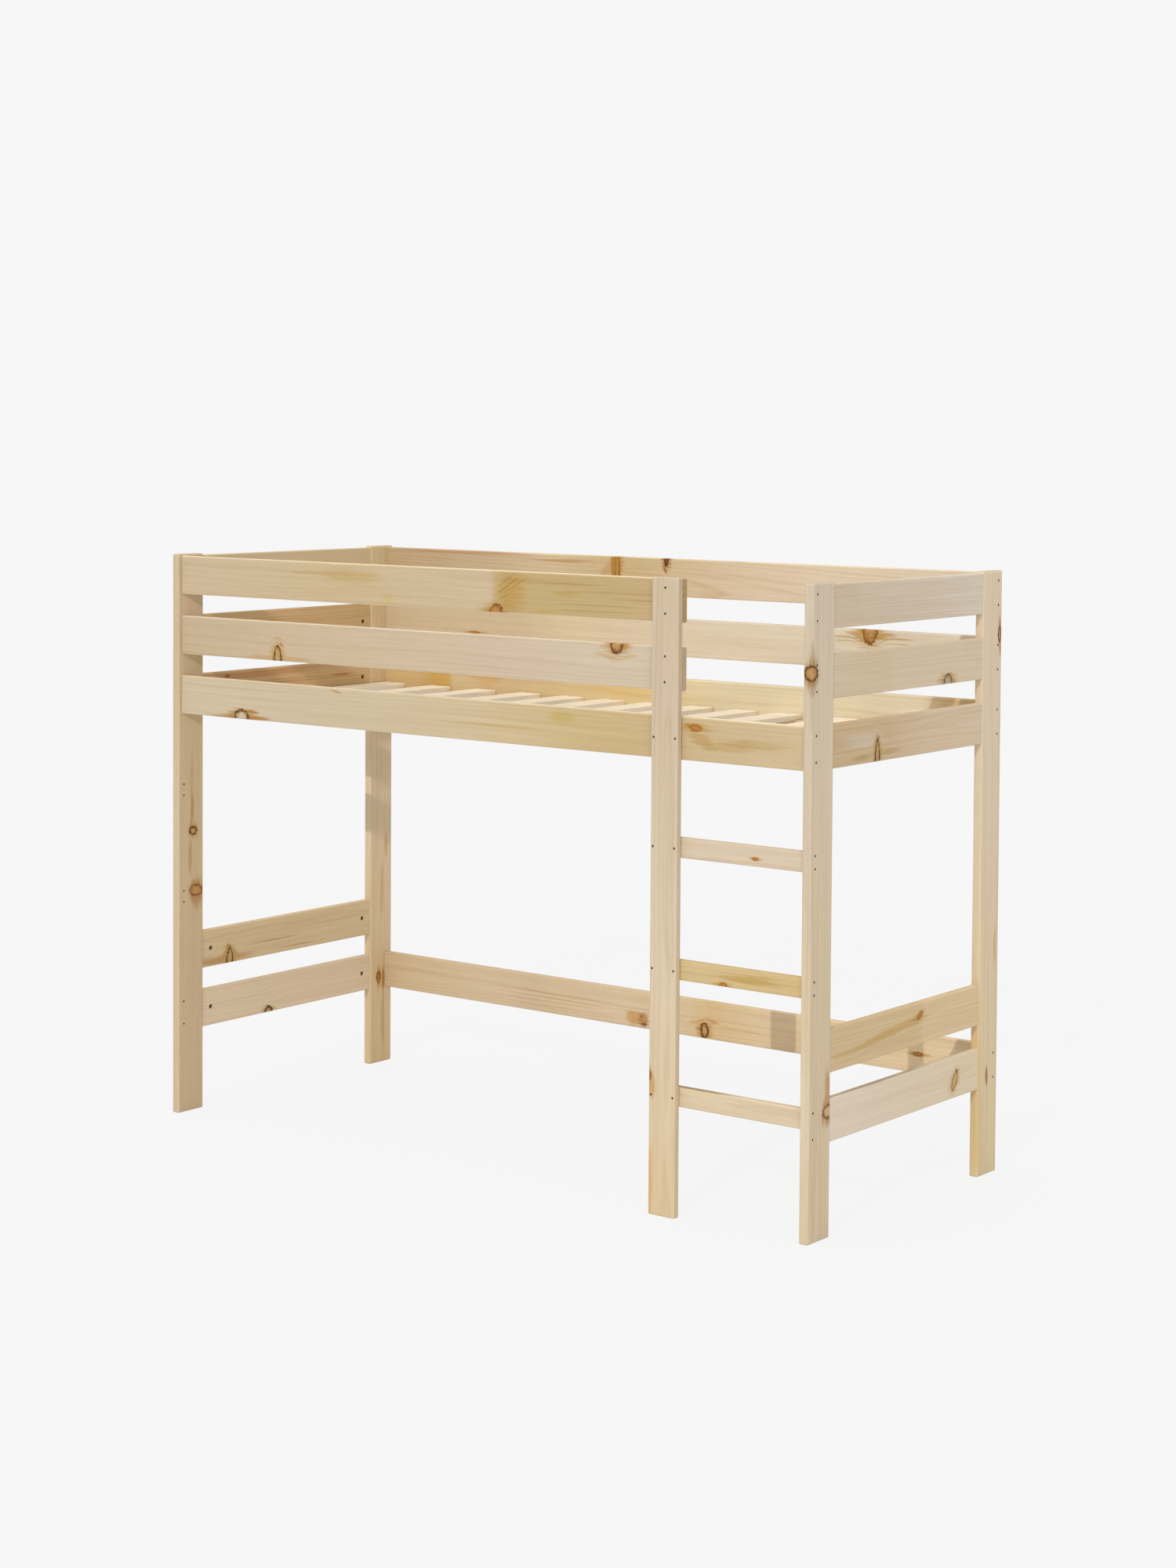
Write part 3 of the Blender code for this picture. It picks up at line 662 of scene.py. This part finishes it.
pine(
    "post_back_right", "upright", [(0.0, "DECAA2"), (1.0, "DFCDB3"), (1.446, "E1CFB5")], 8.0,
    knots=[(1.2935, 0.3991, 0.0195, 0.006, "brown")],
    tints=[(0.2365, 0.361, 0.029, 0.008, "9A6426", 0.85),
           (1.255, 0.403, 0.016, 0.004, "B08048", 0.70),
           (0.545, 0.392, 0.055, 0.006, "C09A48", 0.60),
           (0.20, 0.324, 0.30, 0.009, "D2AC68", 0.50)],
    pith=(20, 60), ring=5.5, lines=0.16, bores=BACK_BORES,
)

# The back rails, whose inner faces show between the front ones
pine(
    "back_top_guard_rail", "rail",
    [(-0.97, "C3AD87"), (-0.6, "CDB696"), (-0.38, "D9C4A2"), (-0.12, "D0B98C"), (0.2, "DCC8AB"),
     (0.5, "E4D4BA")], 9.0,
    knots=[(-0.1672, 1.39, 0.0034, 0.12, "straw"), (-0.1522, 1.39, 0.0088, 0.12, "grained"),
           (0.0085, 1.446, 0.0078, 0.026, "dark")],
    tints=[(-0.7, 1.437, 0.25, 0.006, "B98B5A", 0.55),
           (0.004, 1.4235, 0.007, 0.014, "A06A24", 0.90, 0.3),
           (-0.19, 1.40, 0.020, 0.05, "BE9458", 0.45, -0.8),
           (-0.33, 1.425, 0.12, 0.005, "B88E54", 0.60, -3.0)],
    pith=(-35, 60), lean=(0.0, 0.03), ring=7.0, lines=0.26, fixing="back rail",
)
pine(
    "back_middle_guard_rail", "rail",
    [(-0.97, "CEBB9A"), (-0.5, "D0BD9D"), (-0.3, "DCCBAA"), (0.0, "DECFB7"), (0.97, "E4D9C4")],
    10.0,
    knots=[(0.634, 1.290, 0.0215, 0.0385, "honey"), (-0.642, 1.2205, 0.022, 0.0030, "straw")],
    tints=[(0.588, 1.278, 0.036, 0.006, "B88A3C", 0.60),
           (0.682, 1.278, 0.036, 0.006, "B88A3C", 0.60),
           (0.56, 1.268, 0.05, 0.003, "C09A50", 0.70),
           (0.71, 1.268, 0.05, 0.003, "C09A50", 0.70),
           (0.56, 1.258, 0.05, 0.0025, "C09A50", 0.60),
           (0.71, 1.256, 0.05, 0.0025, "C09A50", 0.60)],
    pith=(30, 90), ring=6.0, lines=0.12, fixing="back rail",
)
pine(
    "back_bed_rail", "rail",
    [(-0.97, "D3B987"), (-0.85, "CDB07A"), (-0.78, "C7A25A"), (-0.730, "CAA660"),
     (-0.722, "D2BC90"), (-0.45, "D2BC8F"), (-0.1, "E2CF9C"), (0.2, "E6DAB9"), (0.78, "E6DABD"),
     (0.85, "D2B88C")], 11.0,
    tints=[(-0.10, 1.10, 0.22, 0.03, "D8AE62", 0.35), (-0.60, 1.10, 0.06, 0.03, "C89A58", 0.50)],
    pith=(-20, 70), ring=6.0, lines=0.16, fixing="back rail",
)
pine(
    "back_low_rail", "rail",
    [(-0.97, "CBB490"), (-0.6, "D5BF9E"), (-0.2, "DAC4A3"), (0.05, "DFCBA8"), (0.16, "D8BC8C"),
     (0.3, "E0C8A2"), (0.97, "E6D0AB")], 12.0,
    knots=[(0.1412, 0.232, 0.0118, 0.0195, "brown"), (0.785, 0.2585, 0.015, 0.0050, "straw")],
    tints=[(0.162, 0.256, 0.030, 0.006, "BC8A44", 0.70),
           (0.118, 0.250, 0.030, 0.006, "C09450", 0.55),
           (0.27, 0.246, 0.08, 0.005, "BC8A44", 0.50, 7.0),
           (0.30, 0.250, 0.12, 0.014, "E2CCA2", 0.50),
           (-0.36, 0.264, 0.20, 0.0020, "B98A50", 0.50),
           (-0.34, 0.252, 0.20, 0.0020, "B98A50", 0.55),
           (-0.38, 0.242, 0.20, 0.0018, "BE9258", 0.50),
           (-0.32, 0.230, 0.18, 0.0018, "BE9258", 0.50),
           (-0.087, 0.235, 0.030, 0.024, "C8944C", 0.75),
           (-0.057, 0.232, 0.020, 0.024, "B47E3A", 0.80),
           (-0.063, 0.241, 0.006, 0.005, "94602E", 0.70),
           (-0.054, 0.222, 0.011, 0.006, "6E4628", 0.80)],
    pith=(25, 65), ring=6.0, lines=0.18, fixing="back rail",
)

# The rungs
# Rung 1 has a darker line drawn along its top edge
pine(
    "ladder_rung_1", "rail", [(0.56, "D9C8A9")], 13.0,
    tints=[(0.67, 0.2975, 0.10, 0.0025, "98825C", 0.85)],
    pith=(5, 60), lines=0.14, fixing="rung",
)
pine(
    "ladder_rung_2", "rail", [(0.56, "D4BE90"), (0.97, "D2B884")], 14.0,
    knots=[(0.7523, 0.5405, 0.0115, 0.0080, "straw")],
    tints=[(0.83, 0.562, 0.09, 0.012, "B8963E", 0.60)],
    pith=(-12, 50), lines=0.22, fixing="rung",
)
pine(
    "ladder_rung_3", "rail", [(0.56, "D7C6AD")], 15.0,
    knots=[(0.8365, 0.8325, 0.008, 0.0038, "straw")],
    pith=(8, 55), lines=0.16, fixing="rung",
)

# The left end's boards, seen from inside, and the right end's, seen from outside
pine(
    "left_top_guard_board", "end", [(-0.3, "D3BE9B")], 16.0,
    pith=(-20, 60), lines=0.20, fixing="end board",
)
pine(
    "left_middle_guard_board", "end", [(-0.3, "D4B68A"), (0.0, "D1B285"), (0.3, "CAAF80")], 17.0,
    tints=[(-0.1, 1.25, 0.35, 0.006, "B98A50", 0.30)],
    pith=(-80, 40), ring=6.5, lines=0.52, streaks=0.28, fixing="end board",
)
pine(
    "left_bed_board", "end", [(-0.3, "CDAC7E"), (0.1, "D0B185"), (0.3, "DABE92")], 18.0,
    tints=[(-0.1, 1.12, 0.25, 0.010, "B5793C", 0.42),
           (-0.225, 1.122, 0.011, 0.006, "96591F", 0.85),
           (0.205, 1.098, 0.045, 0.004, "B06E30", 0.60)],
    pith=(70, 50), ring=7.0, lines=0.44, streaks=0.26, fixing="end board",
)
pine(
    "left_upper_low_board", "end", [(-0.3, "D4BD96")], 19.0,
    knots=[(-0.2155, 0.366, 0.0114, 0.039, "arched")],
    tints=[(-0.2225, 0.3930, 0.009, 0.0062, "A47024", 0.95),
           (-0.24, 0.377, 0.12, 0.014, "B07C38", 0.65),
           (-0.05, 0.4035, 0.10, 0.0028, "AE7842", 0.60),
           (0.04, 0.377, 0.10, 0.0030, "B8823F", 0.50)],
    pith=(20, 60), lines=0.20, fixing="end board",
)
pine(
    "left_lower_low_board", "end", [(-0.3, "DDC9AA")], 20.0,
    knots=[(-0.072, 0.2115, 0.0130, 0.0145, "arched")],
    pith=(-30, 70), lines=0.16, fixing="end board",
)
pine(
    "right_top_guard_board", "end", [(-0.3, "D4C3AB"), (0.3, "DDD1C0")], 21.0,
    pith=(25, 70), lines=0.22, streaks=0.22, fixing="end board",
)
pine(
    "right_middle_guard_board", "end",
    [(-0.3, "D8C6A9"), (-0.09, "D8C5A6"), (-0.07, "DAC8AC"), (0.3, "DBC9AD")], 22.0,
    knots=[(0.167, 1.190, 0.019, 0.0235, "grey")],
    pith=(-15, 60), lines=0.18, fixing="end board",
)
pine(
    "right_bed_board", "end", [(-0.3, "CDB48E"), (-0.1, "CFB792"), (0.1, "D9C4A7")], 23.0,
    knots=[(-0.1335, 1.045, 0.0086, 0.044, "arched")],
    tints=[(-0.1290, 1.0700, 0.006, 0.006, "9A6E36", 0.80),
           (-0.19, 1.050, 0.05, 0.008, "B08C54", 0.50),
           (-0.08, 1.056, 0.05, 0.008, "B08C54", 0.45),
           (-0.19, 1.088, 0.09, 0.020, "D6C6AE", 0.80)],
    pith=(10, 60), lines=0.20, fixing="end board",
)
pine(
    "right_upper_low_board", "end",
    [(-0.3, "D6BE95"), (0.06, "D7BE93"), (0.08, "DDC79F"), (0.3, "DDC69E")], 24.0,
    knots=[(0.0586, 0.432, 0.0095, 0.0095, "straw", -0.8)],
    tints=[(-0.045, 0.416, 0.110, 0.018, "C29A50", 0.60, -7.0),
           (-0.19, 0.402, 0.110, 0.012, "C4A05A", 0.50, -9.0),
           (0.040, 0.427, 0.012, 0.006, "AC8038", 0.60, -6.0)],
    pith=(-25, 70), lines=0.22, fixing="end board",
)
# The right end's lower low board has a darker line drawn along its top edge
pine(
    "right_lower_low_board", "end", [(-0.3, "E3D4C1"), (0.3, "E0CFB0")], 25.0,
    knots=[(0.2175, 0.252, 0.0105, 0.0245, "loop", -0.33)],
    tints=[(-0.12, 0.309, 0.26, 0.0022, "94744C", 0.60)],
    pith=(15, 80), lines=0.09, streaks=0.10, fixing="end board",
)

# The slats and the ledgers that carry them. Each slat is cut with the pith up to 12 mm to
# one side or the other
for number in range(1, 14):
    pith_side = 12 * math.sin(number * 2.1)
    pine(
        f"slat_{number:02}", "slat", [(-0.37, "F0E2CA"), (0.38, "F0E4CE")], 30.0 + number,
        pith=(pith_side, 55), ring=4.5, lines=0.14,
    )
pine("front_ledger", "ledger", [(-0.97, "D2B88F")], 50.0, lines=0.16, fixing="front ledger")
pine("back_ledger", "ledger", [(-0.97, "D2B88F")], 51.0, lines=0.16, fixing="back ledger")

# The cams are die-cast zinc, dull and grainy, and they sit deep in their bores. Their dark brown
# is painted shade over the zinc, for the dark of the bores round them
cast, tree, shader = new_material("die_cast_zinc_painted_shade")
grain = noise(tree, add(tree, "ShaderNodeTexCoord").outputs["Object"], 0.8 * MM, detail=3.0)[0]
pits = {"Height": grain, "Strength": 0.3, "Distance": 0.1 * MM}
feed(tree, shader.inputs, {
    "Base Color": mix(tree, grain, linear("4C3828"), linear("6E553E")), "Metallic": 0.7,
    "Roughness": 0.5, "Normal": add(tree, "ShaderNodeBump", pits).outputs[0],
})
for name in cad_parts:
    if "_cam_" in name:
        dress(name, cast)

# The backdrop's colour, how far the floor reaches in metres, and how much of the floor
# shows the backdrop instead of lit paper
BACKDROP = linear("F7F7F7")
FLOOR_REACH = 30.0
BACKDROP_SHARE = 0.93

# The floor, pale paper that shows as plain background and still keeps the bed's shadow
floor_mesh = bpy.data.meshes.new("studio_floor")
sheet = bmesh.new()
bmesh.ops.create_grid(sheet, x_segments=1, y_segments=1, size=FLOOR_REACH)
sheet.to_mesh(floor_mesh)
sheet.free()
floor = bpy.data.objects.new("studio_floor", floor_mesh)
bpy.context.scene.collection.objects.link(floor)
paper, tree, shader = new_material("pale_paper")
floor_mesh.materials.append(paper)
feed(tree, shader.inputs, {"Base Color": linear("DCDCDC"), "Roughness": 0.9})
rays = add(tree, "ShaderNodeLightPath").outputs
seen = maths(tree, "MAXIMUM", rays["Is Camera Ray"], rays["Is Glossy Ray"])
glow = add(tree, "ShaderNodeEmission", {"Color": BACKDROP, "Strength": 1.0})
blend = add(
    tree, "ShaderNodeMixShader",
    {0: maths(tree, "MULTIPLY", seen, BACKDROP_SHARE), 1: shader.outputs[0], 2: glow.outputs[0]},
)
feed(tree, tree.nodes["Material Output"].inputs, {"Surface": blend.outputs[0]})

# Soft light from all round, stronger from above, behind a plain pale backdrop
HORIZON = -0.1
LEVEL_BELOW = 0.297
LEVEL_ABOVE = 0.585
world = bpy.data.worlds.new("studio")
bpy.context.scene.world = world
world.use_nodes = True
tree = world.node_tree
height = split(tree, add(tree, "ShaderNodeTexCoord").outputs["Generated"])[2]
light = fit(tree, height, HORIZON, 1.0, low=LEVEL_BELOW, high=LEVEL_ABOVE)
seen = add(tree, "ShaderNodeLightPath").outputs["Is Camera Ray"]
feed(tree, tree.nodes["Background"].inputs, {
    "Strength": mix(tree, seen, light, 1.0, data_type="FLOAT"),
    "Color": mix(tree, seen, (1.0, 1.0, 1.0, 1.0), BACKDROP),
})

# The key light comes low from the front, as the shadows on the back rails show, and a
# second one slants in from the right and throws the rails' shadows on the end boards.
# Each lamp has its energy, its spread in degrees and the way that it shines
LAMPS = {
    "key_light": (1.02, 0.5, (-0.27, 1.0, -0.54)),
    "top_light": (1.75, 45.0, (0.1, 0.1, -1.0)),
    "side_light": (0.34, 70.0, (-1.0, 0.1, -0.2)),
    "slanting_side_light": (0.36, 3.0, (-1.0, 0.76, -0.40)),
}
for name, (energy, spread, aim) in LAMPS.items():
    lamp = bpy.data.objects.new(name, bpy.data.lights.new(name, "SUN"))
    lamp.data.energy = energy
    lamp.data.angle = math.radians(spread)
    lamp.rotation_euler = Vector(aim).to_track_quat("-Z", "Y").to_euler()
    bpy.context.scene.collection.objects.link(lamp)

# The camera stands at the photograph's place, fitted to the bed's corners: its place in
# metres, its turns to the left, down and about its own axis in degrees, its lens in
# millimetres and how far the picture is shifted
CAMERA_PLACE = (4.42666, -5.52601, 1.77935)
CAMERA_TURNS = (36.398, 2.321, -0.429)
CAMERA_LENS = 65.67
CAMERA_SHIFT = (-0.0625, -0.1531)
CLIP_END = 100.0
yaw, pitch, roll = (math.radians(angle) for angle in CAMERA_TURNS)
forward = Vector((
    -math.sin(yaw) * math.cos(pitch), math.cos(yaw) * math.cos(pitch), -math.sin(pitch),
))
sideways = Vector((math.cos(yaw), math.sin(yaw), 0.0))
level_axes = Matrix((sideways, sideways.cross(forward), -forward)).transposed()
turn = level_axes @ Matrix.Rotation(-roll, 3, "Z")
camera = bpy.data.objects.new("camera", bpy.data.cameras.new("camera"))
camera.matrix_world = Matrix.Translation(CAMERA_PLACE) @ turn.to_4x4()
camera.data.lens = CAMERA_LENS
camera.data.shift_x, camera.data.shift_y = CAMERA_SHIFT
camera.data.clip_end = CLIP_END
bpy.context.scene.collection.objects.link(camera)
bpy.context.scene.camera = camera
bpy.context.scene.view_settings.view_transform = "Standard"
